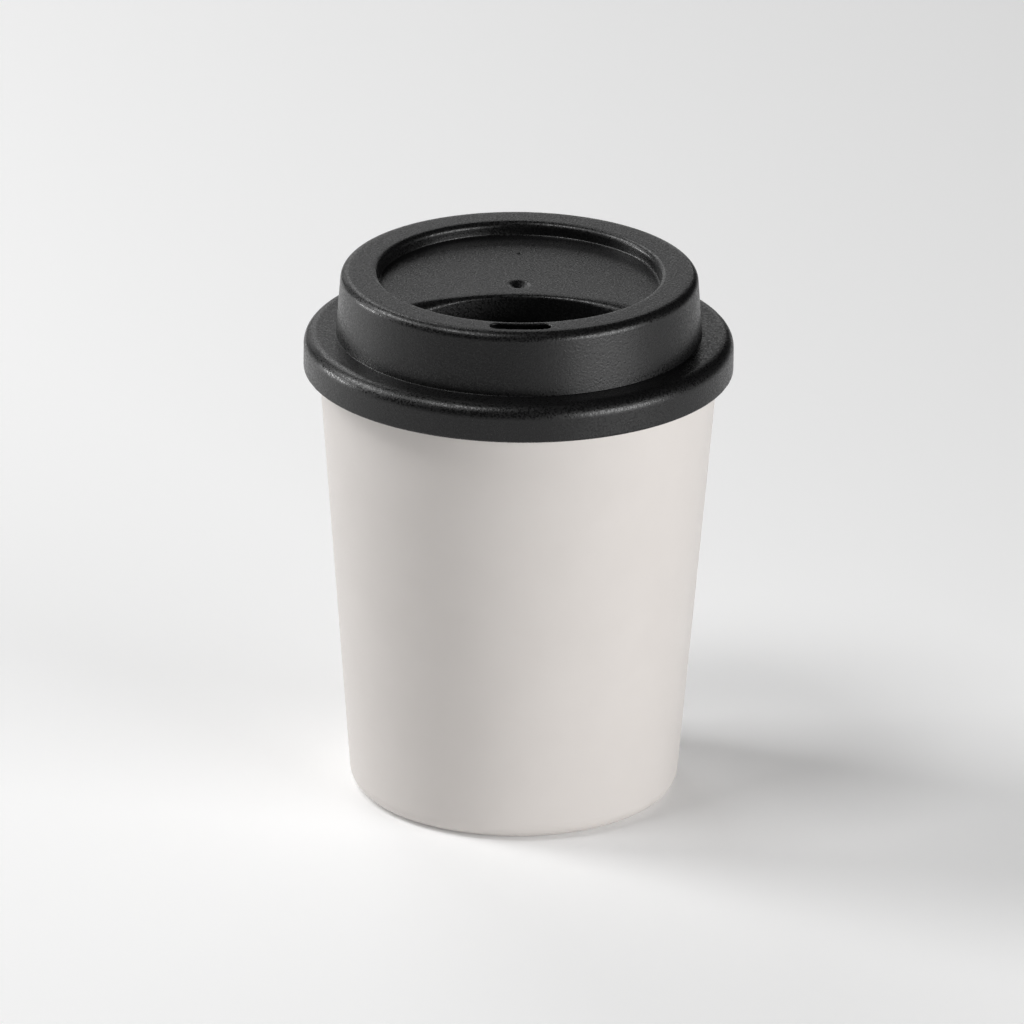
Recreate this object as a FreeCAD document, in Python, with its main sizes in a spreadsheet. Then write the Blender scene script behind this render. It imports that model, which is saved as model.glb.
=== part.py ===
"""Reusable coffee cup with a push-on sip lid, both injection moulded.

The cup is one tapered shell with a rounded foot, a sunk base and a small bead
round its mouth. The lid is one shell too: a flange that covers the bead, a plug
that seals inside the mouth, a step that is hollow underneath, and a tray with a
deeper pocket for the lip. A curved slot through the step's top lets the drink
out and a pin hole in the tray lets air in.

Millimetres. Z is up, the cup stands on Z = 0 about the Z axis, and the sip slot
is on the -Y side.
"""
import FreeCAD, Part
import itertools
import math
import os
import Sketcher

SIZES = {
    # Cup
    "cup_height": 99.7,
    "mouth_radius": 42.25,
    "base_inset": 7.95,
    "cup_wall": 1.8,
    "floor_wall": 2.2,
    "base_edge": 4.2,
    "inner_base_edge": 2.5,
    "foot_width": 6.8,
    "foot_lift": 1.2,
    "foot_edge": 0.5,
    "bead_out": 0.75,
    "bead_height": 3.2,
    "bead_slope": 1.2,
    "mouth_edge": 0.6,
    # Lid's flange and plug
    "lid_wall": 1.6,
    "flange_gap": 0.4,
    "flange_drop": 6.2,
    "flange_edge": 2.85,
    "flange_hem": 0.4,
    "plug_wall": 1.4,
    "plug_gap": 0.35,
    "plug_drop": 7.6,
    "plug_edge": 0.4,
    "seal_gap": 0.06,
    "seal_drop": 4.2,
    "seal_height": 1.8,
    # Lid's step, and the tray sunk into it
    "step_setback": 6.7,
    "step_draft": 1.0,
    "step_height": 13.4,
    "step_edge": 1.6,
    "step_root": 0.3,
    "rim_width": 7.8,
    "tray_wall": 1.4,
    "tray_depth": 2.9,
    "tray_edge": 1.2,
    # Lip pocket
    "pocket_depth": 10.2,
    "pocket_back_radius": 34.6,
    "pocket_back_offset": 6.2,
    "pocket_edge": 0.5,
    "pocket_root": 1.4,
    # Sip slot, air hole and moulding gate
    "slot_width": 3.3,
    "slot_length": 12.7,
    "slot_clear": 0.2,
    "slot_edge": 0.2,
    "vent_offset": 18.4,
    "vent_radius": 0.4,
    "gate_radius": 2.5,
    "gate_depth": 0.7,
    "gate_edge": 0.6,
    "gate_boss_radius": 3.6,
    "gate_boss_height": 0.7,
}

# Levels and radii that several features share, as expressions of the sizes.
RIM = "Sizes.cup_height"
BASE_RADIUS = "(Sizes.mouth_radius - Sizes.base_inset)"
FOOT_RADIUS = f"({BASE_RADIUS} - Sizes.foot_width)"
CUP_FLOOR = "(Sizes.foot_lift + Sizes.floor_wall)"
BEAD_RADIUS = "(Sizes.mouth_radius + Sizes.bead_out)"
BEAD_BOTTOM = f"({RIM} - Sizes.bead_height)"
BEAD_SHOULDER = f"({BEAD_BOTTOM} + Sizes.bead_slope)"
FLANGE_BORE = f"({BEAD_RADIUS} + Sizes.flange_gap)"
FLANGE_RADIUS = f"({FLANGE_BORE} + Sizes.lid_wall)"
FLANGE_TOP = f"({RIM} + Sizes.lid_wall)"
FLANGE_BOTTOM = f"({RIM} - Sizes.flange_drop)"
FLANGE_INNER_EDGE = "(Sizes.flange_edge - Sizes.lid_wall)"
PLUG_BOTTOM = f"({RIM} - Sizes.plug_drop)"
SEAL_LEVEL = f"({RIM} - Sizes.seal_drop)"
SEAL_TOP = f"({SEAL_LEVEL} + Sizes.seal_height / 2)"
SEAL_BOTTOM = f"({SEAL_LEVEL} - Sizes.seal_height / 2)"
STEP_BASE_RADIUS = f"({FLANGE_RADIUS} - Sizes.step_setback)"
STEP_TOP_RADIUS = f"({STEP_BASE_RADIUS} - Sizes.step_draft)"
LID_TOP = f"({FLANGE_TOP} + Sizes.step_height)"
CHANNEL_TOP = f"({LID_TOP} - Sizes.lid_wall)"
TRAY_RADIUS = f"({STEP_TOP_RADIUS} - Sizes.rim_width)"
TRAY_OUTSIDE = f"({TRAY_RADIUS} + Sizes.tray_wall)"
TRAY_TOP = f"({LID_TOP} - Sizes.tray_depth)"
TRAY_BOTTOM = f"({TRAY_TOP} - Sizes.tray_wall)"
GATE_BOTTOM = f"({TRAY_TOP} - Sizes.gate_depth)"
BOSS_BOTTOM = f"({TRAY_BOTTOM} - Sizes.gate_boss_height)"
POCKET_BOTTOM = f"({LID_TOP} - Sizes.pocket_depth)"
POCKET_BELOW_TRAY = "(Sizes.pocket_depth - Sizes.tray_depth)"
POCKET_BACK_CENTRE = "(-Sizes.pocket_back_offset - Sizes.pocket_back_radius)"
SLOT_INSIDE = f"({TRAY_OUTSIDE} + Sizes.slot_clear)"
SLOT_OUTSIDE = f"({SLOT_INSIDE} + Sizes.slot_width)"
SLOT_LAND = f"({SLOT_INSIDE} - {TRAY_RADIUS} - Sizes.tray_edge)"
SLOT_EDGE = f"min(Sizes.slot_edge; {SLOT_LAND} / 2)"
SLOT_END = "((Sizes.slot_length - Sizes.slot_width) / 2)"

NEAR = 1e-4
START, END, CENTRE = 1, 2, 3

doc = FreeCAD.newDocument("coffee_cup")
sheet = doc.addObject("Spreadsheet::Sheet", "Sizes")


def fill_sheet():
    """One row for each driving size: its name beside its value."""
    for row, (alias, size) in enumerate(SIZES.items(), 1):
        sheet.set(f"A{row}", alias.replace("_", " "))
        sheet.set(f"B{row}", str(size))
        sheet.setAlias(f"B{row}", alias)
    doc.recompute()


def value(expression):
    """What an expression of the sizes comes to, as a plain number."""
    return float(sheet.evalExpression(expression.replace("Sizes.", "")))


def cup_outside(level):
    """The cup's outer radius at a height, as an expression."""
    return f"(Sizes.mouth_radius - Sizes.base_inset * ({RIM} - {level}) / {RIM})"


def cup_inside(level):
    """The cup's inner radius at a height, as an expression."""
    return f"({cup_outside(level)} - Sizes.cup_wall)"


def plug_outside(level):
    """The plug's outer radius at a height, as an expression. It follows the cup's taper."""
    return f"({cup_inside(level)} - Sizes.plug_gap)"


def plug_inside(level):
    """The plug's inner radius at a height, as an expression."""
    return f"({plug_outside(level)} - Sizes.plug_wall)"


def new_sketch(body, name, plane, level=None):
    """A sketch on one of the body's own origin planes, raised to a level if one is given."""
    sketch = body.newObject("Sketcher::SketchObject", name)
    support = next(f for f in body.Origin.OriginFeatures if f.Role == plane)
    sketch.AttachmentSupport = (support, [""])
    sketch.MapMode = "FlatFace"
    if level is not None:
        sketch.setExpression("AttachmentOffset.Base.z", level)
    return sketch


def hold_distance(sketch, direction, shape, point, size):
    """Holds one coordinate of a point at its distance from the sketch's origin."""
    distance = Sketcher.Constraint(direction, -1, 1, shape, point, value(size))
    number = sketch.addConstraint(distance)
    sketch.setExpression(f"Constraints[{number}]", size)


def hold_point(sketch, shape, point, across, up):
    """Holds a point of a line or arc at its two coordinates in the sketch."""
    for direction, axis, size in (("DistanceX", -2, across), ("DistanceY", -1, up)):
        if size == "0":
            sketch.addConstraint(Sketcher.Constraint("PointOnObject", shape, point, axis))
        else:
            hold_distance(sketch, direction, shape, point, size)


def hold_radius(sketch, shape, size):
    """Holds the radius of a circle or arc."""
    number = sketch.addConstraint(Sketcher.Constraint("Radius", shape, value(size)))
    sketch.setExpression(f"Constraints[{number}]", size)


def add_arc(sketch, centre, radius, start, end):
    """An arc drawn counter-clockwise between two angles, in plain numbers."""
    circle = Part.Circle(FreeCAD.Vector(*centre, 0), FreeCAD.Vector(0, 0, 1), radius)
    sketch.addGeometry(Part.ArcOfCircle(circle, start, end))


def join_smoothly(sketch):
    """Makes each arc of a loop tangent to the next, at the ends where they meet."""
    arcs = range(sketch.GeometryCount)
    for this, following in zip(arcs, [*arcs[1:], 0]):
        for end, start in itertools.product((START, END), repeat=2):
            gap = sketch.getPoint(this, end) - sketch.getPoint(following, start)
            if gap.Length < NEAR:
                sketch.addConstraint(Sketcher.Constraint("Tangent", this, end, following, start))


def section(body, name, corners):
    """A closed outline of straight lines in the XZ plane. A corner is (radius, height)."""
    sketch = new_sketch(body, name, "XZ_Plane")
    points = [FreeCAD.Vector(value(radius), value(height), 0) for radius, height in corners]
    for point, following in zip(points, points[1:] + points[:1]):
        sketch.addGeometry(Part.LineSegment(point, following))
    for line, (radius, height) in enumerate(corners):
        before = (line - 1) % len(corners)
        sketch.addConstraint(Sketcher.Constraint("Coincident", before, END, line, START))
        hold_point(sketch, line, START, radius, height)
    return sketch


def turned(body, kind, name, profile):
    """A full turn of a section about the cup's axis: a Revolution adds, a Groove cuts."""
    feature = body.newObject(f"PartDesign::{kind}", name)
    feature.Profile = profile
    feature.ReferenceAxis = (profile, ["V_Axis"])
    feature.Angle = 360
    return feature


def extruded(body, kind, name, plan, length):
    """A level plan carried down by a length: a Pad adds, a Pocket cuts."""
    feature = body.newObject(f"PartDesign::{kind}", name)
    feature.Profile = plan
    feature.Reversed = kind == "Pad"
    feature.setExpression("Length", length)
    return feature


def worked(body, kind, name, size, *arcs):
    """A Fillet or Chamfer on level edges of the last feature, and on what runs smoothly on.

    An edge is named by its arc: (its centre's Y, its radius, its height)."""
    doc.recompute()
    base = body.Tip
    places = [[value(number) for number in arc] for arc in arcs]
    edges = []
    for number, edge in enumerate(base.Shape.Edges, 1):
        if not edge.Degenerated and isinstance(edge.Curve, Part.Circle):
            found = [edge.Curve.Center.y, edge.Curve.Radius, edge.Curve.Center.z]
            if any(math.dist(found, wanted) < NEAR for wanted in places):
                edges.append(f"Edge{number}")
    if not edges:
        raise ValueError(f"{name} finds no edge")
    feature = body.newObject(f"PartDesign::{kind}", name)
    feature.Base = (base, edges)
    feature.setExpression("Radius" if kind == "Fillet" else "Size", size)
    return feature


def round_ring(body, name, size, radius, height):
    """A fillet on a whole ring about the cup's axis."""
    return worked(body, "Fillet", name, size, ("0", radius, height))


def bevel_ring(body, name, size, radius, height):
    """A chamfer on a whole ring about the cup's axis."""
    return worked(body, "Chamfer", name, size, ("0", radius, height))


def make_cup():
    """The cup: one turned shell with its edges rounded or bevelled."""
    body = doc.addObject("PartDesign::Body", "CupBody")
    body.Label = "cup_body"
    turned(body, "Revolution", "cup_shell", section(body, "cup_section", [
        ("0", "Sizes.foot_lift"),
        (FOOT_RADIUS, "Sizes.foot_lift"),
        (FOOT_RADIUS, "0"),
        (BASE_RADIUS, "0"),
        (cup_outside(BEAD_BOTTOM), BEAD_BOTTOM),
        (BEAD_RADIUS, BEAD_SHOULDER),
        (BEAD_RADIUS, RIM),
        (cup_inside(RIM), RIM),
        (cup_inside(CUP_FLOOR), CUP_FLOOR),
        ("0", CUP_FLOOR),
    ]))
    round_ring(body, "base_round", "Sizes.base_edge", BASE_RADIUS, "0")
    bevel_ring(body, "inside_bevel", "Sizes.inner_base_edge", cup_inside(CUP_FLOOR), CUP_FLOOR)
    bevel_ring(body, "foot_bevel", "Sizes.foot_edge", FOOT_RADIUS, "0")
    bevel_ring(body, "bead_bevel", FLANGE_INNER_EDGE, BEAD_RADIUS, RIM)
    bevel_ring(body, "mouth_bevel", "Sizes.mouth_edge", cup_inside(RIM), RIM)
    return body


def turn_lid(body):
    """The lid's turned form, from the tray out over the step and down the flange and plug."""
    turned(body, "Revolution", "lid_shell", section(body, "lid_section", [
        ("0", BOSS_BOTTOM),
        ("Sizes.gate_boss_radius", BOSS_BOTTOM),
        ("Sizes.gate_boss_radius", TRAY_BOTTOM),
        (TRAY_OUTSIDE, TRAY_BOTTOM),
        (TRAY_OUTSIDE, CHANNEL_TOP),
        (f"{STEP_TOP_RADIUS} - Sizes.lid_wall", CHANNEL_TOP),
        (f"{STEP_BASE_RADIUS} - Sizes.lid_wall", RIM),
        (plug_inside(RIM), RIM),
        (plug_inside(PLUG_BOTTOM), PLUG_BOTTOM),
        (plug_outside(PLUG_BOTTOM), PLUG_BOTTOM),
        (plug_outside(SEAL_BOTTOM), SEAL_BOTTOM),
        (f"{cup_inside(SEAL_LEVEL)} - Sizes.seal_gap", SEAL_LEVEL),
        (plug_outside(SEAL_TOP), SEAL_TOP),
        (plug_outside(RIM), RIM),
        (FLANGE_BORE, RIM),
        (FLANGE_BORE, FLANGE_BOTTOM),
        (FLANGE_RADIUS, FLANGE_BOTTOM),
        (FLANGE_RADIUS, FLANGE_TOP),
        (STEP_BASE_RADIUS, FLANGE_TOP),
        (STEP_TOP_RADIUS, LID_TOP),
        (TRAY_RADIUS, LID_TOP),
        (TRAY_RADIUS, TRAY_TOP),
        ("0", TRAY_TOP),
    ]))


def pocket_plan(body, name, level, growth):
    """The lip pocket's plan: what lies inside both the tray's wall and the back wall's arc.

    A growth moves the whole outline outwards."""
    sketch = new_sketch(body, name, "XY_Plane", level)
    front = f"({TRAY_RADIUS} + {growth})"
    back = f"(Sizes.pocket_back_radius + {growth})"
    front_radius, back_radius, back_y = value(front), value(back), value(POCKET_BACK_CENTRE)
    corner_y = (front_radius ** 2 - back_radius ** 2 + back_y ** 2) / (2 * back_y)
    corner_x = math.sqrt(front_radius ** 2 - corner_y ** 2)
    front_turn = math.atan2(corner_y, corner_x)
    back_turn = math.atan2(corner_y - back_y, corner_x)
    add_arc(sketch, (0, 0), front_radius, -math.pi - front_turn, front_turn)
    add_arc(sketch, (0, back_y), back_radius, back_turn, math.pi - back_turn)
    sketch.addConstraint(Sketcher.Constraint("Coincident", 0, END, 1, START))
    sketch.addConstraint(Sketcher.Constraint("Coincident", 1, END, 0, START))
    hold_point(sketch, 0, CENTRE, "0", "0")
    hold_point(sketch, 1, CENTRE, "0", POCKET_BACK_CENTRE)
    hold_radius(sketch, 0, front)
    hold_radius(sketch, 1, back)
    return sketch


def make_pocket(body):
    """The lip pocket: a shell under the tray and the hollow inside it."""
    outside = pocket_plan(body, "pocket_outside", TRAY_BOTTOM, "Sizes.tray_wall")
    extruded(body, "Pad", "pocket_shell", outside, POCKET_BELOW_TRAY)
    inside = pocket_plan(body, "pocket_inside", TRAY_TOP, "0")
    extruded(body, "Pocket", "pocket_hollow", inside, POCKET_BELOW_TRAY)
    back = (POCKET_BACK_CENTRE, "Sizes.pocket_back_radius")
    worked(body, "Chamfer", "pocket_root_bevel", "Sizes.pocket_root",
           (*back, POCKET_BOTTOM), ("0", TRAY_RADIUS, POCKET_BOTTOM))
    worked(body, "Fillet", "pocket_edge_round", "Sizes.pocket_edge", (*back, TRAY_TOP))


def slot_plan(body, name):
    """The sip slot's plan: a band that follows the lid's rim, with round ends."""
    sketch = new_sketch(body, name, "XY_Plane", LID_TOP)
    inside, outside = value(SLOT_INSIDE), value(SLOT_OUTSIDE)
    end_x = value(SLOT_END)
    end_y = -math.sqrt(((inside + outside) / 2) ** 2 - end_x ** 2)
    end_radius = (outside - inside) / 2
    turn = math.atan2(end_y, end_x)
    add_arc(sketch, (0, 0), outside, -math.pi - turn, turn)
    add_arc(sketch, (end_x, end_y), end_radius, turn, turn + math.pi)
    add_arc(sketch, (0, 0), inside, -math.pi - turn, turn)
    add_arc(sketch, (-end_x, end_y), end_radius, -turn, math.pi - turn)
    join_smoothly(sketch)
    hold_point(sketch, 0, CENTRE, "0", "0")
    hold_point(sketch, 2, CENTRE, "0", "0")
    hold_radius(sketch, 0, SLOT_OUTSIDE)
    hold_radius(sketch, 2, SLOT_INSIDE)
    hold_distance(sketch, "DistanceX", 1, CENTRE, SLOT_END)
    hold_distance(sketch, "DistanceX", 3, CENTRE, f"-{SLOT_END}")
    return sketch


def cut_slot(body):
    """The sip slot, through the step's top into the channel under it."""
    extruded(body, "Pocket", "sip_slot", slot_plan(body, "slot_outline"), "Sizes.lid_wall")
    bevel_ring(body, "slot_bevel", SLOT_EDGE, SLOT_OUTSIDE, LID_TOP)


def cut_vent(body):
    """The air hole, through the tray behind the middle."""
    sketch = new_sketch(body, "vent_outline", "XY_Plane", TRAY_TOP)
    centre = FreeCAD.Vector(0, value("Sizes.vent_offset"), 0)
    sketch.addGeometry(Part.Circle(centre, FreeCAD.Vector(0, 0, 1), value("Sizes.vent_radius")))
    hold_point(sketch, 0, CENTRE, "0", "Sizes.vent_offset")
    hold_radius(sketch, 0, "Sizes.vent_radius")
    extruded(body, "Pocket", "air_hole", sketch, "Sizes.tray_wall")


def cut_gate(body):
    """The shallow round dimple that the moulding gate leaves in the middle of the tray."""
    sketch = new_sketch(body, "gate_section", "XZ_Plane")
    radius, depth = value("Sizes.gate_radius"), value("Sizes.gate_depth")
    bottom, top = value(GATE_BOTTOM), value(TRAY_TOP)
    bowl = (radius ** 2 + depth ** 2) / (2 * depth)
    edge_turn = math.atan2(top - bottom - bowl, radius)
    add_arc(sketch, (0, bottom + bowl), bowl, -math.pi / 2, edge_turn)
    corners = [FreeCAD.Vector(radius, top, 0), FreeCAD.Vector(0, top, 0), FreeCAD.Vector(0, bottom, 0)]
    sketch.addGeometry(Part.LineSegment(corners[0], corners[1]))
    sketch.addGeometry(Part.LineSegment(corners[1], corners[2]))
    sketch.addConstraint(Sketcher.Constraint("Coincident", 0, END, 1, START))
    sketch.addConstraint(Sketcher.Constraint("Coincident", 1, END, 2, START))
    sketch.addConstraint(Sketcher.Constraint("Coincident", 2, END, 0, START))
    sketch.addConstraint(Sketcher.Constraint("PointOnObject", 0, CENTRE, -2))
    hold_point(sketch, 1, START, "Sizes.gate_radius", TRAY_TOP)
    hold_point(sketch, 1, END, "0", TRAY_TOP)
    hold_point(sketch, 2, END, "0", GATE_BOTTOM)
    turned(body, "Groove", "gate_dimple", sketch)
    bevel_ring(body, "gate_bevel", "Sizes.gate_edge", "Sizes.gate_radius", TRAY_TOP)


def make_lid():
    """The lid: a turned form with its lip pocket, slot, air hole and gate."""
    body = doc.addObject("PartDesign::Body", "LidBody")
    body.Label = "lid"
    turn_lid(body)
    round_ring(body, "tray_edge_round", "Sizes.tray_edge", TRAY_RADIUS, LID_TOP)
    round_ring(body, "step_edge_round", "Sizes.step_edge", STEP_TOP_RADIUS, LID_TOP)
    bevel_ring(body, "step_root_bevel", "Sizes.step_root", STEP_BASE_RADIUS, FLANGE_TOP)
    round_ring(body, "flange_round", "Sizes.flange_edge", FLANGE_RADIUS, FLANGE_TOP)
    bevel_ring(body, "flange_inner_bevel", FLANGE_INNER_EDGE, FLANGE_BORE, RIM)
    bevel_ring(body, "hem_bevel", "Sizes.flange_hem", FLANGE_RADIUS, FLANGE_BOTTOM)
    bevel_ring(body, "plug_bevel", "Sizes.plug_edge", plug_outside(PLUG_BOTTOM), PLUG_BOTTOM)
    make_pocket(body)
    cut_slot(body)
    cut_vent(body)
    cut_gate(body)
    return body


def check(bodies):
    """Stops if anything failed to build, or if a cut removed nothing or an addition added nothing."""
    for thing in doc.Objects:
        if {"Invalid", "Error"} & set(thing.State):
            raise ValueError(f"{thing.Label} did not build")
    for body in bodies:
        if body.Shape.isNull() or not body.Shape.isValid() or len(body.Shape.Solids) != 1:
            raise ValueError(f"{body.Label} is not one valid solid")
        steps = [thing for thing in body.Group if thing.isDerivedFrom("PartDesign::Feature")]
        for before, after in zip(steps, steps[1:]):
            if abs(after.Shape.Volume - before.Shape.Volume) < NEAR:
                raise ValueError(f"{after.Label} changes nothing")


def export(bodies):
    """Writes each piece's solid under its own name."""
    os.makedirs("parts", exist_ok=True)
    for body in bodies:
        body.Shape.exportStep(f"parts/{body.Label}.step")


fill_sheet()
pieces = [make_cup(), make_lid()]
doc.recompute()
check(pieces)
export(pieces)
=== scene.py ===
"""Looks of the reusable coffee cup: its cup and its push-on lid as smooth closed shells.

Lengths are in millimetres, as in the part's source, and become metres where a
mesh is made. The cup stands on Z = 0 about the Z axis, sip slot towards -Y.
"""
import bpy
import bmesh
import math
from collections import namedtuple
from mathutils import Matrix, Vector


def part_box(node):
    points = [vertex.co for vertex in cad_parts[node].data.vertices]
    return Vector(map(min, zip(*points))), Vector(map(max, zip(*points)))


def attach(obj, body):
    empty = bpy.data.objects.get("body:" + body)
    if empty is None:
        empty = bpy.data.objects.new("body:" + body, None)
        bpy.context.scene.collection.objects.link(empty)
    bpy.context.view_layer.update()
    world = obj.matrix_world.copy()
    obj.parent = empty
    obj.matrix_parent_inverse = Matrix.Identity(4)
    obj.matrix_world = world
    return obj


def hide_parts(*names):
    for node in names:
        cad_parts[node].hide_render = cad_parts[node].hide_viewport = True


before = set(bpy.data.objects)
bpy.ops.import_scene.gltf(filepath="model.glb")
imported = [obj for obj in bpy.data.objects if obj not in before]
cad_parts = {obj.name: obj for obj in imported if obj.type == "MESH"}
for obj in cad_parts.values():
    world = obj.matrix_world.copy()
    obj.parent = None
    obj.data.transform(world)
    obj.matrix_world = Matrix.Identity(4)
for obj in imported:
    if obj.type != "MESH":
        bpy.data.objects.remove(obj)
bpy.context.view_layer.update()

MM = 0.001

# The driving sizes, as the frame gives them
CUP_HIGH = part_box("cup_body")[1] / MM
LID_LOW, LID_HIGH = (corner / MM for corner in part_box("lid"))
RIM = CUP_HIGH.z
LID_TOP = LID_HIGH.z
FLANGE_RADIUS = LID_HIGH.x
BEAD_RADIUS = CUP_HIGH.x

# Cup
BEAD_OUT = 0.75
BEAD_HEIGHT = 3.2
BEAD_SLOPE = 1.2
BEAD_ROOT = 0.4
BEAD_EDGE = 0.3
MOUTH_RADIUS = BEAD_RADIUS - BEAD_OUT
MOUTH_EDGE = 1.0
MOUTH_INNER_EDGE = 0.6
REST_GAP = 0.02
CUP_WALL = 1.8
BASE_INSET = 7.95
BASE_RADIUS = MOUTH_RADIUS - BASE_INSET
BASE_EDGE = 4.2
BASE_WALL = 2.2
FOOT_LIFT = 1.2
FOOT_WIDTH = 6.8
FOOT_EDGE = 0.5
CUP_FLOOR = FOOT_LIFT + BASE_WALL
CUP_FLOOR_ROOT = 2.5

# Lid's flange and plug
LID_WALL = 1.6
FLANGE_DROP = 6.2
FLANGE_TOP = RIM + LID_WALL
FLANGE_BOTTOM = RIM - FLANGE_DROP
FLANGE_EDGE = 2.85
FLANGE_LOWER_EDGE = 0.45
FLANGE_BORE = FLANGE_RADIUS - LID_WALL
FLANGE_BORE_EDGE = 0.35
PLUG_WALL = 1.4
PLUG_GAP = 0.35
PLUG_BOTTOM = LID_LOW.z
PLUG_ROOT = 0.3
PLUG_EDGE = 0.4
SEAL_DROP = 4.2
SEAL_LEVEL = RIM - SEAL_DROP
SEAL_HALF = 0.9
SEAL_GAP = 0.06
SEAL_EDGE = 0.3

# Lid's step, and the channel under it
FLANGE_LAND = 6.7
STEP_SLOPE = 1.0
STEP_BASE = FLANGE_RADIUS - FLANGE_LAND
STEP_TOP = STEP_BASE - STEP_SLOPE
STEP_EDGE = 1.9
STEP_ROOT = 0.12
CHANNEL_TOP = LID_TOP - LID_WALL
CHANNEL_ROUND = 0.8
CHANNEL_MOUTH_EDGE = 0.4
CHANNEL_OUTSIDE = STEP_TOP - LID_WALL - CHANNEL_ROUND

# Tray and lip pocket, sunk into the step
STEP_LAND = 7.8
TRAY_RADIUS = STEP_TOP - STEP_LAND
TRAY_EDGE = 1.2
TRAY_WALL = 1.4
TRAY_DEPTH = 2.9
TRAY_LEVEL = LID_TOP - TRAY_DEPTH
TRAY_UNDER = TRAY_LEVEL - TRAY_WALL
TRAY_INNER = TRAY_RADIUS + TRAY_WALL
TRAY_FOOT = 0.4
POCKET_DEPTH = 10.2
POCKET_BOTTOM = LID_TOP - POCKET_DEPTH
POCKET_BACK = 34.6
POCKET_OFFSET = 6.65
POCKET_CENTRE = -(POCKET_OFFSET + TRAY_RADIUS) / 2
POCKET_CORNER = 3.0
POCKET_DRAFT = math.radians(9)
POCKET_ROOT = 1.4
POCKET_EDGE = 0.9
POCKET_UNDER_EDGE = 0.4
POCKET_END_EDGE = 3.0

# Sip slot, air hole and moulding gate
SLOT_MARGIN = 0.2
SLOT_WIDTH = 3.3
SLOT_MIDDLE = TRAY_INNER + SLOT_MARGIN + SLOT_WIDTH / 2
SLOT_LENGTH = 12.7
SLOT_EDGE = 0.22
SLOT_LIP = 0.35
SLOT_UNDERCUT = 0.8
VENT_Y = 18.4
VENT_RADIUS = 0.4
VENT_EDGE = 0.1
VENT_FLARE = 0.05
GATE_RADIUS = 2.9
GATE_DEPTH = 1.1
GATE_BELL = 1.3
PIT_RADIUS = 0.26
PIT_DEPTH = 0.4
PIT_EDGE = 0.05
PIT_EDGE_DROP = 0.08
PIT_FLOOR_RADIUS = 0.8 * PIT_RADIUS
BOSS_RADIUS = 3.6
BOSS_HEIGHT = 0.7
BOSS_ROOT = 0.3
BOSS_EDGE = 0.2

# How finely the meshes follow their curves
ARC_STEP = math.radians(9)
SHARP_ANGLE = math.radians(40)
SUPPORT = 0.1
SLOT_SUPPORT = 0.03
NEAR = 1e-7
BEVEL_SHARE = 0.3
CAP_RADIUS = 1.0
CUP_COLUMNS = 256
FRONT_COLUMNS = 116
CORNER_COLUMNS = 14
BACK_COLUMNS = 120
RIM_CELLS = 6
TRAY_CELLS = 24
EDGE_STEPS = 8
FOOT_STEPS = 4
ROOT_STEPS = 8
SLOT_STEPS = 4
GATE_STEPS = 11

# Where the larger round at the pocket's ends starts behind, and the columns it fades over in front
END_START = 0.3
END_FADE = 16

# Columns that the slot takes on each side, and what each hole in the tray takes of its cells:
# its first and last row and its columns on each side
SLOT_COLUMNS = 16
GATE_CELLS = (0, 7, 8)
VENT_CELLS = (14, 18, 4)

# How far the rows between a hole and its ring, and those on the pocket's floor, go inwards
BLEND_SHARES = (0.35, 0.7)
FLOOR_SHARES = (0.03, 0.15, 0.35, 0.6, 0.85)

# Finishes: two near shades, the least and the most roughness, and the grain's depth in metres
CUP_SHADES = ((0.605, 0.572, 0.547), (0.62, 0.587, 0.562))
CUP_ROUGHNESS = (0.4, 0.48)
CUP_GRAIN = 0.004 * MM
LID_SHADES = ((0.0036, 0.0036, 0.0037), (0.0052, 0.0052, 0.0054))
LID_ROUGHNESS = (0.26, 0.46)
LID_GRAIN = 0.038 * MM
SPECULAR = 0.4
GRAIN_SCALE = 2200.0
GLOSS_SCALE = 2640.0
CLOUD_SCALE = 90.0
SHADE_RANGE = (0.3, 0.7)
GLOSS_RANGE = (0.35, 0.65)

# Floor, in metres
FLOOR_HALF = 4.0
FLOOR_SHADE = (0.9, 0.9, 0.9)
FLOOR_ROUGHNESS = 0.9
FLOOR_GLOW = 0.1

# The photograph's view, fitted to its outline: degrees, metres, and the target in millimetres
CAMERA_LENS = 562.5
CAMERA_SENSOR = 36
CAMERA_CLIP = 100
CAMERA_TURN = -0.6
CAMERA_RISE = 21.299
CAMERA_DISTANCE = 3.3608
CAMERA_TARGET = (-0.992, 0, 60.73)
CAMERA_TILT = 0.677

# Softboxes as (turn, rise, distance, width, height, watts), in degrees and metres
LIGHT_TARGET = (0, 0, 60)
SOFTBOXES = {
    "key": (54, 9, 1.2, 0.9, 0.5, 12.6),
    "left": (-105, 38, 1.2, 0.45, 0.45, 6.2),
    "left_low": (-110, 8, 1.2, 0.3, 0.2, 4.6),
    "back_left": (-160, 38, 1.2, 0.4, 0.4, 1.6),
    "front": (-56, 62, 1.2, 0.4, 0.4, 4.5),
    "back": (-172, 15, 1.2, 1.1, 0.45, 1.4),
}

# One side of the tray and pocket: the tray wall's radius, how far the pocket's plan is grown,
# the tray's level, the pocket's edge in its middle and at its ends, the round at the tray wall's
# foot, the pocket floor's level and the round at its foot
Side = namedtuple("Side", "radius growth level edge end_edge foot bottom root")
TOP_SIDE = Side(
    TRAY_RADIUS, 0, TRAY_LEVEL, POCKET_EDGE, POCKET_END_EDGE,
    TRAY_FOOT, POCKET_BOTTOM, POCKET_ROOT,
)
UNDER_SIDE = Side(
    TRAY_INNER, TRAY_WALL, TRAY_UNDER, POCKET_UNDER_EDGE, POCKET_END_EDGE - TRAY_WALL,
    TRAY_FOOT + TRAY_WALL, POCKET_BOTTOM - TRAY_WALL, POCKET_ROOT + TRAY_WALL,
)


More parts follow.
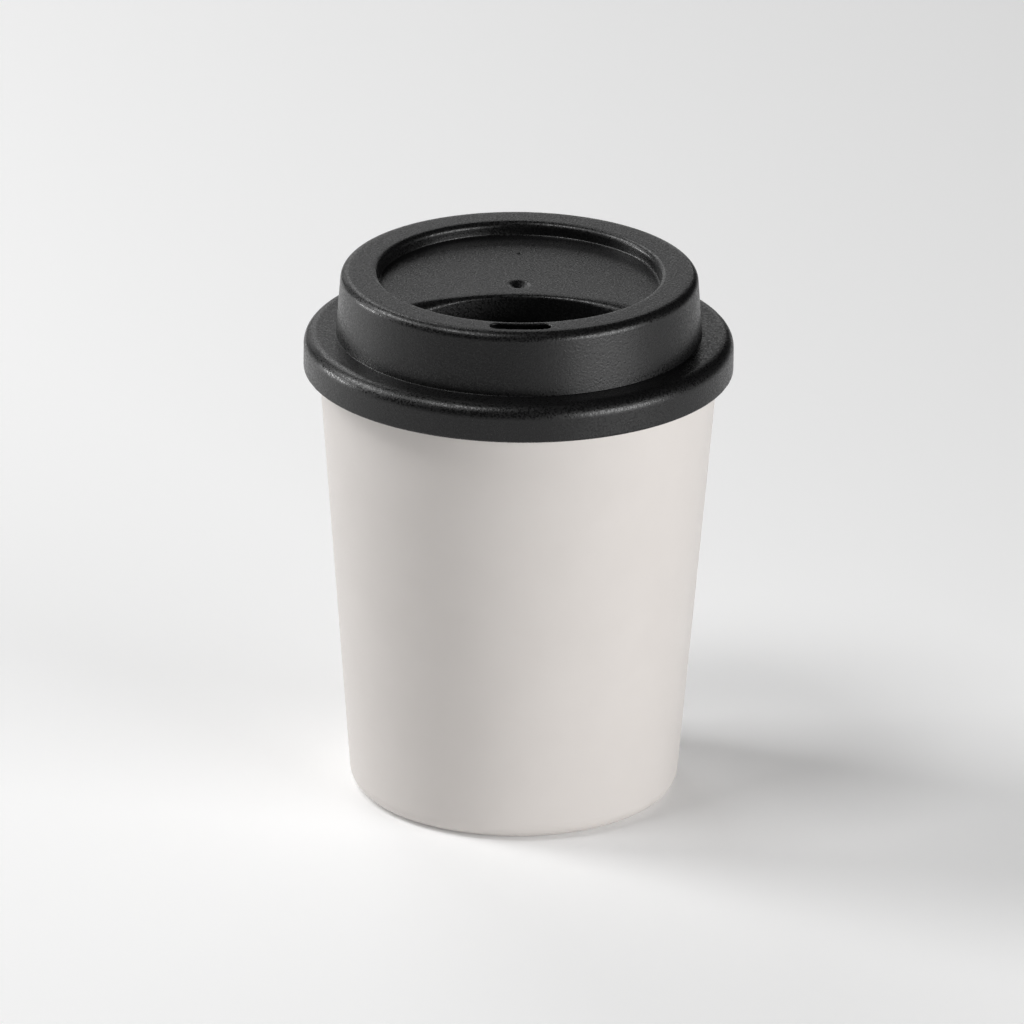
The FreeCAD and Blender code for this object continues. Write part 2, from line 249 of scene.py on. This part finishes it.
class Shell:
    """One closed piece, gathered as points in millimetres and faces between them."""

    def __init__(self):
        self.points = []
        self.faces = []

    def row(self, points):
        """Adds points and returns their numbers."""
        start = len(self.points)
        self.points.extend(points)
        return list(range(start, len(self.points)))

    def strip(self, row, following):
        """Faces between two closed rows of the same length."""
        for a, b, c, d in zip(row, row[1:] + row[:1], following, following[1:] + following[:1]):
            self.faces.append((a, b, d, c))

    def cap(self, row, centre):
        """Closes a row with triangles to one point."""
        middle = self.row([centre])[0]
        for a, b in zip(row, row[1:] + row[:1]):
            self.faces.append((a, b, middle))

    def grid(self, rows, closed=True, holes=()):
        """Faces between rows, apart from holes, each (first row, last row, first column, last column)."""
        for k, (row, following) in enumerate(zip(rows, rows[1:])):
            count = len(row) if closed else len(row) - 1
            for i in range(count):
                if any(k0 <= k < k1 and i0 <= i < i1 for k0, k1, i0, i1 in holes):
                    continue
                j = (i + 1) % len(row)
                self.faces.append((row[i], row[j], following[j], following[i]))

    def hole_edge(self, rows, hole):
        """The numbers round a hole in a grid."""
        k0, k1, i0, i1 = hole
        there = [rows[k0][i] for i in range(i0, i1)]
        out = [rows[k][i1] for k in range(k0, k1)]
        back = [rows[k1][i] for i in range(i1, i0, -1)]
        home = [rows[k][i0] for k in range(k1, k0, -1)]
        return there + out + back + home

    def build(self, name):
        """The object, in metres, closed and with its faces outwards."""
        bm = bmesh.new()
        verts = [bm.verts.new([c * MM for c in point]) for point in self.points]
        for face in self.faces:
            corners = [v for i, v in enumerate(face) if v not in face[:i]]
            bm.faces.new([verts[i] for i in corners])
        spare = [v for v in bm.verts if not v.link_faces]
        bmesh.ops.delete(bm, geom=spare, context="VERTS")
        bmesh.ops.remove_doubles(bm, verts=bm.verts, dist=NEAR)
        bmesh.ops.dissolve_degenerate(bm, edges=bm.edges, dist=NEAR)
        bmesh.ops.recalc_face_normals(bm, faces=bm.faces)
        for face in bm.faces:
            face.smooth = True
        mesh = bpy.data.meshes.new(name)
        bm.to_mesh(mesh)
        bm.free()
        mesh.set_sharp_from_angle(angle=SHARP_ANGLE)
        piece = bpy.data.objects.new(name, mesh)
        bpy.context.scene.collection.objects.link(piece)
        return piece


def rounded(corners):
    """A profile with its corners rounded. A corner is (radius, height, size of its round)."""
    line = []
    for before, (radius, height, size), after in zip(corners, corners[1:], corners[2:]):
        here = Vector((radius, height))
        back = Vector(before[:2]) - here
        on = Vector(after[:2]) - here
        if not size:
            line.append(tuple(here))
            continue
        half = back.angle(on) / 2
        turn = math.pi - 2 * half
        reach = size / math.tan(half)
        centre = here + (back.normalized() + on.normalized()).normalized() * size / math.sin(half)
        start = here + back.normalized() * reach - centre
        end = here + on.normalized() * reach - centre
        steps = max(2, round(turn / ARC_STEP))
        line.append(tuple(here + back.normalized() * (reach + SUPPORT)))
        for step in range(steps + 1):
            share = step / steps
            spot = (start * math.sin((1 - share) * turn) + end * math.sin(share * turn)) / math.sin(turn)
            line.append(tuple(centre + spot))
        line.append(tuple(here + on.normalized() * (reach + SUPPORT)))
    return [tuple(corners[0][:2])] + line + [tuple(corners[-1][:2])]


def quarter(steps):
    """Turns from nothing to a right angle."""
    return [math.pi / 2 * step / steps for step in range(steps + 1)]


def spread(start, end, count):
    """Numbers from start up to, but without, end."""
    return [start + (end - start) * i / count for i in range(count)]


def turned(shell, profile, turns):
    """Rows of a profile turned about the axis, one point for each turn."""
    return [
        shell.row([(radius * math.cos(turn), radius * math.sin(turn), height) for turn in turns])
        for radius, height in profile
    ]


def cup_outside(level):
    """The cup's outer radius at a height."""
    return MOUTH_RADIUS - BASE_INSET * (RIM - level) / RIM


def cup_inside(level):
    """The cup's inner radius at a height."""
    return cup_outside(level) - CUP_WALL


def plug_outside(level):
    """The plug's outer radius at a height."""
    return cup_inside(level) - PLUG_GAP


def make_cup():
    """The cup: wall, rounded foot, sunk base and the bead round its mouth."""
    shell = Shell()
    foot = BASE_RADIUS - FOOT_WIDTH
    mouth = RIM - REST_GAP
    profile = rounded([
        (CAP_RADIUS, FOOT_LIFT, 0),
        (foot, FOOT_LIFT, FOOT_EDGE),
        (foot, 0, FOOT_EDGE),
        (BASE_RADIUS, 0, BASE_EDGE),
        (cup_outside(RIM - BEAD_HEIGHT), RIM - BEAD_HEIGHT, BEAD_ROOT),
        (BEAD_RADIUS, RIM - BEAD_HEIGHT + BEAD_SLOPE, BEAD_EDGE),
        (BEAD_RADIUS, mouth, MOUTH_EDGE),
        (cup_inside(mouth), mouth, MOUTH_INNER_EDGE),
        (cup_inside(CUP_FLOOR), CUP_FLOOR, CUP_FLOOR_ROOT),
        (CAP_RADIUS, CUP_FLOOR, 0),
    ])
    rows = turned(shell, profile, spread(0, math.tau, CUP_COLUMNS))
    shell.grid(rows)
    shell.cap(rows[0], (0, 0, FOOT_LIFT))
    shell.cap(rows[-1], (0, 0, CUP_FLOOR))
    return shell.build("cup_shell")


class Pocket:
    """The lip pocket's plan: a lens with rounded corners, one column for each facing."""

    def __init__(self):
        back_y = -POCKET_OFFSET - POCKET_BACK
        tray, back = TRAY_RADIUS - POCKET_CORNER, POCKET_BACK - POCKET_CORNER
        corner_y = (tray ** 2 - back ** 2 + back_y ** 2) / (2 * back_y)
        corner_x = math.sqrt(tray ** 2 - corner_y ** 2)
        front_turn = math.atan2(corner_y, corner_x)
        back_turn = math.atan2(corner_y - back_y, corner_x)
        arcs = [
            (corner_x, corner_y, POCKET_CORNER, front_turn, back_turn, CORNER_COLUMNS),
            (0, back_y, POCKET_BACK, back_turn, math.pi - back_turn, BACK_COLUMNS),
            (-corner_x, corner_y, POCKET_CORNER, math.pi - back_turn, math.pi - front_turn, CORNER_COLUMNS),
            (0, 0, TRAY_RADIUS, math.pi - front_turn, math.tau + front_turn, FRONT_COLUMNS),
        ]
        self.columns = [
            (x, y, radius, turn)
            for x, y, radius, start, end, count in arcs
            for turn in spread(start, end, count)
        ]
        self.behind = 2 * CORNER_COLUMNS + BACK_COLUMNS
        self.middle = CORNER_COLUMNS + BACK_COLUMNS // 2
        self.front = self.behind + FRONT_COLUMNS // 2

    def spot(self, column, growth):
        """A point of the plan grown outwards."""
        x, y, radius, turn = self.columns[column]
        return x + (radius + growth) * math.cos(turn), y + (radius + growth) * math.sin(turn)

    def reach(self, column, growth, radius):
        """How far out from the grown plan a circle about the axis lies."""
        x, y = self.spot(column, growth)
        turn = self.columns[column][3]
        along = x * math.cos(turn) + y * math.sin(turn)
        left = along ** 2 - (x * x + y * y - radius ** 2)
        return max(0.0, math.sqrt(max(0.0, left)) - along)

    def edges(self, edge, end_edge):
        """The size of the edge's round at each column, larger towards the pocket's two ends."""
        half = self.behind / 2
        sizes = []
        for column in range(len(self.columns)):
            if column <= self.behind:
                rise = (abs(column - half) / half - END_START) / (1 - END_START)
            else:
                rise = 1 - min(column - self.behind, len(self.columns) - column) / END_FADE
            rise = max(0.0, min(1.0, rise))
            sizes.append(edge + (end_edge - edge) * rise * rise * (3 - 2 * rise))
        return sizes

    def turns(self):
        """The turn about the axis at which each column meets the tray's wall."""
        found = []
        for column in range(len(self.columns)):
            x, y = self.spot(column, self.reach(column, 0, TRAY_RADIUS))
            turn = math.atan2(y, x)
            while found and turn < found[-1] - NEAR:
                turn += math.tau
            found.append(turn)
        return found

    def hole(self, cells):
        """A hole in the tray's rows, on the middle line behind the pocket."""
        start, end, half = cells
        return EDGE_STEPS + start, EDGE_STEPS + end, self.middle - half, self.middle + half


def tray_section(step, wide, rise, edge, level):
    """How far out from the pocket's plan, and how high, a step of the tray's section lies."""
    last = math.acos(max(0.0, 1 - wide / edge))
    floor = level - edge * (1 - math.sin(last))
    flat = max(0.0, wide - edge - rise)
    if step <= EDGE_STEPS:
        turn = last * step / EDGE_STEPS
        return edge * (1 - math.cos(turn)), level - edge * (1 - math.sin(turn))
    if step <= EDGE_STEPS + TRAY_CELLS:
        return min(wide, edge) + flat * (step - EDGE_STEPS) / TRAY_CELLS, floor
    turn = math.pi / 2 * (step - EDGE_STEPS - TRAY_CELLS) / FOOT_STEPS
    return min(wide, edge) + flat + rise * math.sin(turn), floor + rise * (1 - math.cos(turn))


def tray_rows(shell, pocket, turns, side, edges):
    """The tray's rows, from the pocket's edge out to the foot of the tray's wall."""
    spans = []
    for column in range(pocket.behind + 1):
        wide = pocket.reach(column, side.growth, side.radius)
        flat = max(0.0, wide - edges[column])
        spans.append((wide, min(side.foot, flat / 2)))
    rows = []
    for step in range(EDGE_STEPS + TRAY_CELLS + FOOT_STEPS + 1):
        points = []
        for column, (wide, rise) in enumerate(spans):
            out, height = tray_section(step, wide, rise, edges[column], side.level)
            share = out / wide if wide > NEAR else 0.0
            x, y = pocket.spot(column, side.growth)
            end_x = side.radius * math.cos(turns[column])
            end_y = side.radius * math.sin(turns[column])
            points.append((x + (end_x - x) * share, y + (end_y - y) * share, height))
        rows.append(shell.row(points))
    return rows


def sink_pocket(shell, lip, pocket, side, edges):
    """The pocket's leaning wall, the round at its foot and its floor, from the lip down."""
    section = [(0, side.level), (0, side.bottom + side.root + SUPPORT)] + [
        (side.root * (1 - math.cos(turn)), side.bottom + side.root * (1 - math.sin(turn)))
        for turn in quarter(ROOT_STEPS)
    ]
    stack = [lip]
    for inward, high in section:
        points = []
        for column, edge in enumerate(edges):
            height = min(high, side.level - edge - SUPPORT)
            lean = math.tan(POCKET_DRAFT) * (side.level - edge - height)
            points.append((*pocket.spot(column, side.growth - inward - lean), height))
        stack.append(shell.row(points))
    last = [shell.points[i] for i in stack[-1]]
    for share in FLOOR_SHARES:
        stack.append(shell.row([
            (x * (1 - share), POCKET_CENTRE + (y - POCKET_CENTRE) * (1 - share), z)
            for x, y, z in last
        ]))
    shell.grid(stack)
    shell.cap(stack[-1], (0, POCKET_CENTRE, side.bottom))


def dish(shell, ring, pocket, turns, side):
    """The tray and the lip pocket, from a ring on the tray's wall inwards.

    Returns the tray's rows, whose faces are left to the caller."""
    edges = pocket.edges(side.edge, side.end_edge)
    rows = tray_rows(shell, pocket, turns, side, edges)
    wall = shell.row([
        (*pocket.spot(column, side.growth), side.level - edges[column])
        for column in range(pocket.behind + 1, len(pocket.columns))
    ])
    shell.strip(ring, rows[-1] + wall)
    sink_pocket(shell, rows[0] + wall, pocket, side, edges)
    return rows


def rings_round(shell, edge, centre_y, profile):
    """Rings about a point on the tray, from a hole's edge inwards. Returns the last ring."""
    start = [shell.points[i] for i in edge]
    turns = [math.atan2(y - centre_y, x) for x, y, _ in start]
    circles = [
        [(radius * math.cos(t), centre_y + radius * math.sin(t), height) for t in turns]
        for radius, height in profile
    ]
    blends = [
        [tuple(a + (b - a) * share for a, b in zip(p, q)) for p, q in zip(start, circles[0])]
        for share in BLEND_SHARES
    ]
    ring = edge
    for points in blends + circles:
        following = shell.row(points)
        shell.strip(ring, following)
        ring = following
    return ring


def gate_profile():
    """The dimple's section: a soft bell down to the little pit in its middle."""
    points = [(GATE_RADIUS + SUPPORT, TRAY_LEVEL)]
    for step in range(GATE_STEPS):
        share = 1 - step / GATE_STEPS
        drop = GATE_DEPTH * (0.5 + 0.5 * math.cos(math.pi * share)) ** GATE_BELL
        points.append((GATE_RADIUS * share, TRAY_LEVEL - drop))
    floor = points[-1][1]
    points = [point for point in points if point[0] > PIT_RADIUS + SUPPORT]
    return points + [
        (PIT_RADIUS + PIT_EDGE, floor),
        (PIT_RADIUS, floor - PIT_EDGE_DROP),
        (PIT_FLOOR_RADIUS, floor - PIT_DEPTH),
        (PIT_FLOOR_RADIUS / 2, floor - PIT_DEPTH),
    ]


def make_gate(shell, top, under):
    """The dimple in the tray, and the flat boss that backs it underneath."""
    dimple = rings_round(shell, top, 0, gate_profile())
    shell.cap(dimple, (0, 0, TRAY_LEVEL - GATE_DEPTH - PIT_DEPTH))
    root, edge = BOSS_ROOT * BEVEL_SHARE, BOSS_EDGE * BEVEL_SHARE
    bottom = TRAY_UNDER - BOSS_HEIGHT
    boss = rings_round(shell, under, 0, [
        (BOSS_RADIUS + BOSS_ROOT, TRAY_UNDER),
        (BOSS_RADIUS + root, TRAY_UNDER - root),
        (BOSS_RADIUS, TRAY_UNDER - BOSS_ROOT),
        (BOSS_RADIUS, bottom + BOSS_EDGE),
        (BOSS_RADIUS - edge, bottom + edge),
        (BOSS_RADIUS - BOSS_EDGE, bottom),
        (BOSS_RADIUS / 2, bottom),
    ])
    shell.cap(boss, (0, 0, bottom))


def make_vent(shell, top, under):
    """The air hole through the tray."""
    edge = VENT_EDGE * BEVEL_SHARE
    hole = rings_round(shell, top, VENT_Y, [
        (VENT_RADIUS + VENT_EDGE + SUPPORT, TRAY_LEVEL),
        (VENT_RADIUS + VENT_EDGE, TRAY_LEVEL),
        (VENT_RADIUS + edge, TRAY_LEVEL - edge),
        (VENT_RADIUS, TRAY_LEVEL - VENT_EDGE),
        (VENT_RADIUS, TRAY_UNDER),
    ])
    shell.strip(hole, rings_round(shell, under, VENT_Y, [(VENT_RADIUS + VENT_FLARE, TRAY_UNDER)]))


def slot_ring(shell, edge, growth, height):
    """A ring that follows the sip slot's outline, one point for each on a hole's edge."""
    half = (SLOT_LENGTH - SLOT_WIDTH) / 2
    points = []
    for number in edge:
        x, y, _ = shell.points[number]
        along = SLOT_MIDDLE * math.atan2(x, -y)
        across = math.hypot(x, y) - SLOT_MIDDLE
        nearest = max(-half, min(half, along))
        away = math.hypot(along - nearest, across)
        reach = (SLOT_WIDTH / 2 + growth) / away
        turn = (nearest + (along - nearest) * reach) / SLOT_MIDDLE
        radius = min(SLOT_MIDDLE + across * reach, CHANNEL_OUTSIDE - 2 * NEAR)
        points.append((radius * math.sin(turn), -radius * math.cos(turn), height))
    return shell.row(points)


def make_slot(shell, top, under):
    """The sip slot: a rounded edge, a thin lip and an undercut down to the channel's ceiling."""
    levels = [(SLOT_EDGE + SLOT_SUPPORT, LID_TOP)] + [
        (SLOT_EDGE * (1 - math.sin(turn)), LID_TOP - SLOT_EDGE * (1 - math.cos(turn)))
        for turn in quarter(SLOT_STEPS)
    ] + [
        (0, LID_TOP - SLOT_LIP),
        (SLOT_UNDERCUT, LID_TOP - SLOT_LIP - SLOT_UNDERCUT),
        (SLOT_UNDERCUT, CHANNEL_TOP + SUPPORT),
    ]
    ring = top
    for growth, height in levels:
        following = slot_ring(shell, top, growth, height)
        shell.strip(ring, following)
        ring = following
    shell.strip(ring, under)


def land_profiles():
    """The tray wall's rounded edge, and the land between it and the step's edge."""
    start, end = TRAY_RADIUS + TRAY_EDGE, STEP_TOP - STEP_EDGE
    edge = rounded([
        (TRAY_RADIUS, LID_TOP - TRAY_EDGE - 4 * SUPPORT, 0),
        (TRAY_RADIUS, LID_TOP, TRAY_EDGE),
        (start + SUPPORT, LID_TOP, 0),
    ])[:-2]
    land = [(radius, LID_TOP) for radius in spread(start, end, RIM_CELLS)[1:]]
    return edge, land


def outer_profile():
    """From the step's top edge, round the flange and the plug, up into the channel."""
    seal = cup_inside(SEAL_LEVEL) - SEAL_GAP
    plug_end = plug_outside(PLUG_BOTTOM)
    return rounded([
        (STEP_TOP - 2 * STEP_EDGE, LID_TOP, 0),
        (STEP_TOP, LID_TOP, STEP_EDGE),
        (STEP_BASE, FLANGE_TOP, STEP_ROOT),
        (FLANGE_RADIUS, FLANGE_TOP, FLANGE_EDGE),
        (FLANGE_RADIUS, FLANGE_BOTTOM, FLANGE_LOWER_EDGE),
        (FLANGE_BORE, FLANGE_BOTTOM, FLANGE_BORE_EDGE),
        (FLANGE_BORE, RIM, FLANGE_EDGE - LID_WALL),
        (plug_outside(RIM), RIM, PLUG_ROOT),
        (plug_outside(SEAL_LEVEL + SEAL_HALF), SEAL_LEVEL + SEAL_HALF, SEAL_EDGE),
        (seal, SEAL_LEVEL, SEAL_EDGE),
        (plug_outside(SEAL_LEVEL - SEAL_HALF), SEAL_LEVEL - SEAL_HALF, SEAL_EDGE),
        (plug_end, PLUG_BOTTOM, PLUG_EDGE),
        (plug_end - PLUG_WALL, PLUG_BOTTOM, PLUG_EDGE),
        (plug_outside(RIM) - PLUG_WALL, RIM, PLUG_EDGE),
        (STEP_BASE - LID_WALL, RIM, CHANNEL_MOUTH_EDGE),
        (STEP_TOP - LID_WALL, CHANNEL_TOP, CHANNEL_ROUND),
        (TRAY_INNER, CHANNEL_TOP, 0),
    ])[2:-2]


def make_lid():
    """The lid: flange, plug, hollow step, tray, lip pocket, sip slot, air hole and gate."""
    shell = Shell()
    pocket = Pocket()
    turns = pocket.turns()
    edge, land = land_profiles()
    outside = edge + land + outer_profile()
    ceiling = [
        (CHANNEL_OUTSIDE + (TRAY_INNER - CHANNEL_OUTSIDE) * i / RIM_CELLS, CHANNEL_TOP)
        for i in range(1, RIM_CELLS + 1)
    ]
    rows = turned(shell, outside + ceiling, turns)
    top_row, ceiling_row = len(edge) - 1, len(outside) - 1
    columns = (pocket.front - SLOT_COLUMNS, pocket.front + SLOT_COLUMNS)
    top_hole = (top_row, top_row + RIM_CELLS, *columns)
    ceiling_hole = (ceiling_row, ceiling_row + RIM_CELLS, *columns)
    shell.grid(rows, holes=(top_hole, ceiling_hole))
    under = rows[ceiling_row:ceiling_row + RIM_CELLS + 1][::-1]
    make_slot(
        shell,
        shell.hole_edge(rows, top_hole),
        shell.hole_edge(under, (0, RIM_CELLS, *columns)),
    )
    gate, vent = pocket.hole(GATE_CELLS), pocket.hole(VENT_CELLS)
    trays = []
    for start, side in ((rows[0], TOP_SIDE), (rows[-1], UNDER_SIDE)):
        tray = dish(shell, start, pocket, turns, side)
        shell.grid(tray, closed=False, holes=(gate, vent))
        trays.append(tray)
    make_gate(shell, *(shell.hole_edge(tray, gate) for tray in trays))
    make_vent(shell, *(shell.hole_edge(tray, vent) for tray in trays))
    return shell.build("lid_shell")


def grained(name, shades, roughness, grain_depth):
    """A moulded plastic: two near shades, uneven gloss and a fine eroded grain."""
    material = bpy.data.materials.new(name)
    material.use_nodes = True
    tree = material.node_tree
    surface = tree.nodes["Principled BSDF"]
    where = tree.nodes.new("ShaderNodeTexCoord")

    def noise(scale, detail):
        """A noise on the object's own coordinates."""
        node = tree.nodes.new("ShaderNodeTexNoise")
        node.inputs["Scale"].default_value = scale
        node.inputs["Detail"].default_value = detail
        tree.links.new(where.outputs["Object"], node.inputs["Vector"])
        return node.outputs["Fac"]

    shade = tree.nodes.new("ShaderNodeValToRGB")
    for element, position, colour in zip(shade.color_ramp.elements, SHADE_RANGE, shades):
        element.position = position
        element.color = (*colour, 1)
    rough = tree.nodes.new("ShaderNodeMapRange")
    rough.inputs["From Min"].default_value, rough.inputs["From Max"].default_value = GLOSS_RANGE
    rough.inputs["To Min"].default_value, rough.inputs["To Max"].default_value = roughness
    bump = tree.nodes.new("ShaderNodeBump")
    bump.inputs["Strength"].default_value = 1.0
    bump.inputs["Distance"].default_value = grain_depth
    tree.links.new(noise(CLOUD_SCALE, 3.0), shade.inputs["Fac"])
    tree.links.new(noise(GLOSS_SCALE, 0.0), rough.inputs["Value"])
    tree.links.new(noise(GRAIN_SCALE, 1.0), bump.inputs["Height"])
    tree.links.new(shade.outputs["Color"], surface.inputs["Base Color"])
    tree.links.new(rough.outputs["Result"], surface.inputs["Roughness"])
    tree.links.new(bump.outputs["Normal"], surface.inputs["Normal"])
    surface.inputs["Specular IOR Level"].default_value = SPECULAR
    return material


def floor_finish():
    """The floor's own matt finish."""
    material = bpy.data.materials.new("floor_pale")
    material.use_nodes = True
    surface = material.node_tree.nodes["Principled BSDF"]
    surface.inputs["Base Color"].default_value = (*FLOOR_SHADE, 1)
    surface.inputs["Roughness"].default_value = FLOOR_ROUGHNESS
    surface.inputs["Emission Color"].default_value = (1, 1, 1, 1)
    surface.inputs["Emission Strength"].default_value = FLOOR_GLOW
    return material


def aim(turn, rise, distance, target):
    """A place at a turn and rise from a target, and the rotation that looks back at it."""
    turn, rise = math.radians(turn), math.radians(rise)
    back = Vector((
        math.sin(turn) * math.cos(rise),
        -math.cos(turn) * math.cos(rise),
        math.sin(rise),
    ))
    return Vector(target) * MM + back * distance, (-back).to_track_quat("-Z", "Y")


def make_camera():
    """The photograph's view: a long lens, a little above the cup, tilted very slightly."""
    data = bpy.data.cameras.new("camera")
    data.lens = CAMERA_LENS
    data.sensor_width = CAMERA_SENSOR
    data.clip_end = CAMERA_CLIP
    camera = bpy.data.objects.new("camera", data)
    camera.location, look = aim(CAMERA_TURN, CAMERA_RISE, CAMERA_DISTANCE, CAMERA_TARGET)
    tilt = Matrix.Rotation(math.radians(CAMERA_TILT), 4, "Z")
    camera.rotation_mode = "QUATERNION"
    camera.rotation_quaternion = look @ tilt.to_quaternion()
    bpy.context.scene.collection.objects.link(camera)
    bpy.context.scene.camera = camera


def make_lights():
    """Plain soft studio light: six softboxes in a dark room."""
    for name, (turn, rise, distance, width, height, watts) in SOFTBOXES.items():
        data = bpy.data.lights.new(name, "AREA")
        data.shape = "RECTANGLE"
        data.size = width
        data.size_y = height
        data.energy = watts
        light = bpy.data.objects.new(name, data)
        light.rotation_mode = "QUATERNION"
        light.location, light.rotation_quaternion = aim(turn, rise, distance, LIGHT_TARGET)
        light.visible_camera = False
        bpy.context.scene.collection.objects.link(light)
    world = bpy.data.worlds.new("room")
    world.use_nodes = True
    world.node_tree.nodes["Background"].inputs["Strength"].default_value = 0.0
    bpy.context.scene.world = world


def make_floor():
    """A plain pale floor."""
    half = FLOOR_HALF
    mesh = bpy.data.meshes.new("floor")
    corners = [(-half, -half, 0), (half, -half, 0), (half, half, 0), (-half, half, 0)]
    mesh.from_pydata(corners, [], [(0, 1, 2, 3)])
    floor = bpy.data.objects.new("floor", mesh)
    floor.data.materials.append(floor_finish())
    bpy.context.scene.collection.objects.link(floor)


def main():
    """Builds the scene round the frame."""
    bpy.context.scene.view_settings.view_transform = "Standard"
    make_camera()
    make_lights()
    make_floor()
    cup = make_cup()
    cup.data.materials.append(grained("cup_satin", CUP_SHADES, CUP_ROUGHNESS, CUP_GRAIN))
    lid = make_lid()
    lid.data.materials.append(grained("lid_grain", LID_SHADES, LID_ROUGHNESS, LID_GRAIN))
    for piece, body, node, finish in (
        (cup, "cup", "cup_body", "cup_plastic"),
        (lid, "lid_body", "lid", "lid_plastic"),
    ):
        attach(piece, body)
        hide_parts(node)


main()
